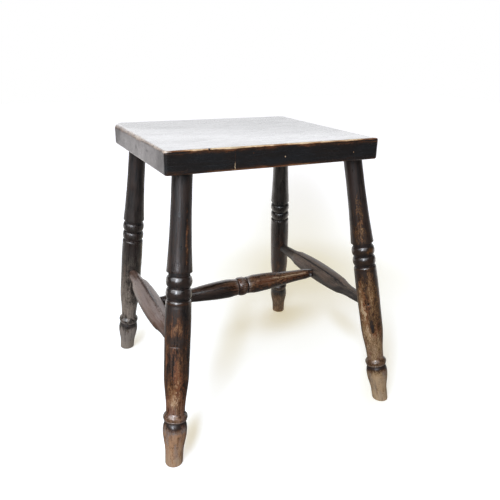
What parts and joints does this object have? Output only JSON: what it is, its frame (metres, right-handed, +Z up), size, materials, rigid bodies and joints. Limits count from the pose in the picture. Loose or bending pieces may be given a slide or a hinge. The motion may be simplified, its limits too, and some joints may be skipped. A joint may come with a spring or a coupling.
{
  "type": "stool",
  "caption": "Country stool with a thick plank seat on splayed turned legs, tied low down by swelling turned stretchers in an H.",
  "frame": {"origin": "on the floor, at the middle of the leg frame, which is the middle of the overall box", "axes": "+Z up, +X along the seat's long side and its grain, -Y towards the front, where the seat's corners are nearly square"},
  "size_m": [0.4508, 0.4448, 0.5],
  "materials": {
    "seat_wood": "ebonised and waxed, glossy, worn to tan along the front edge",
    "leg_wood": "ebonised and waxed, worn through to orange-brown wood on shafts and feet",
    "stretcher_wood": "ebonised, rubbed to a dull red-brown",
    "nail_iron": "dull dark iron"
  },
  "bodies": {
    "root": {"seat_plank": "seat_wood", "front_left_leg": "leg_wood", "front_right_leg": "leg_wood", "back_left_leg": "leg_wood", "back_right_leg": "leg_wood", "left_side_stretcher": "stretcher_wood", "right_side_stretcher": "stretcher_wood", "cross_stretcher": "stretcher_wood", "joint_nail": "nail_iron"}
  },
  "joints": []
}
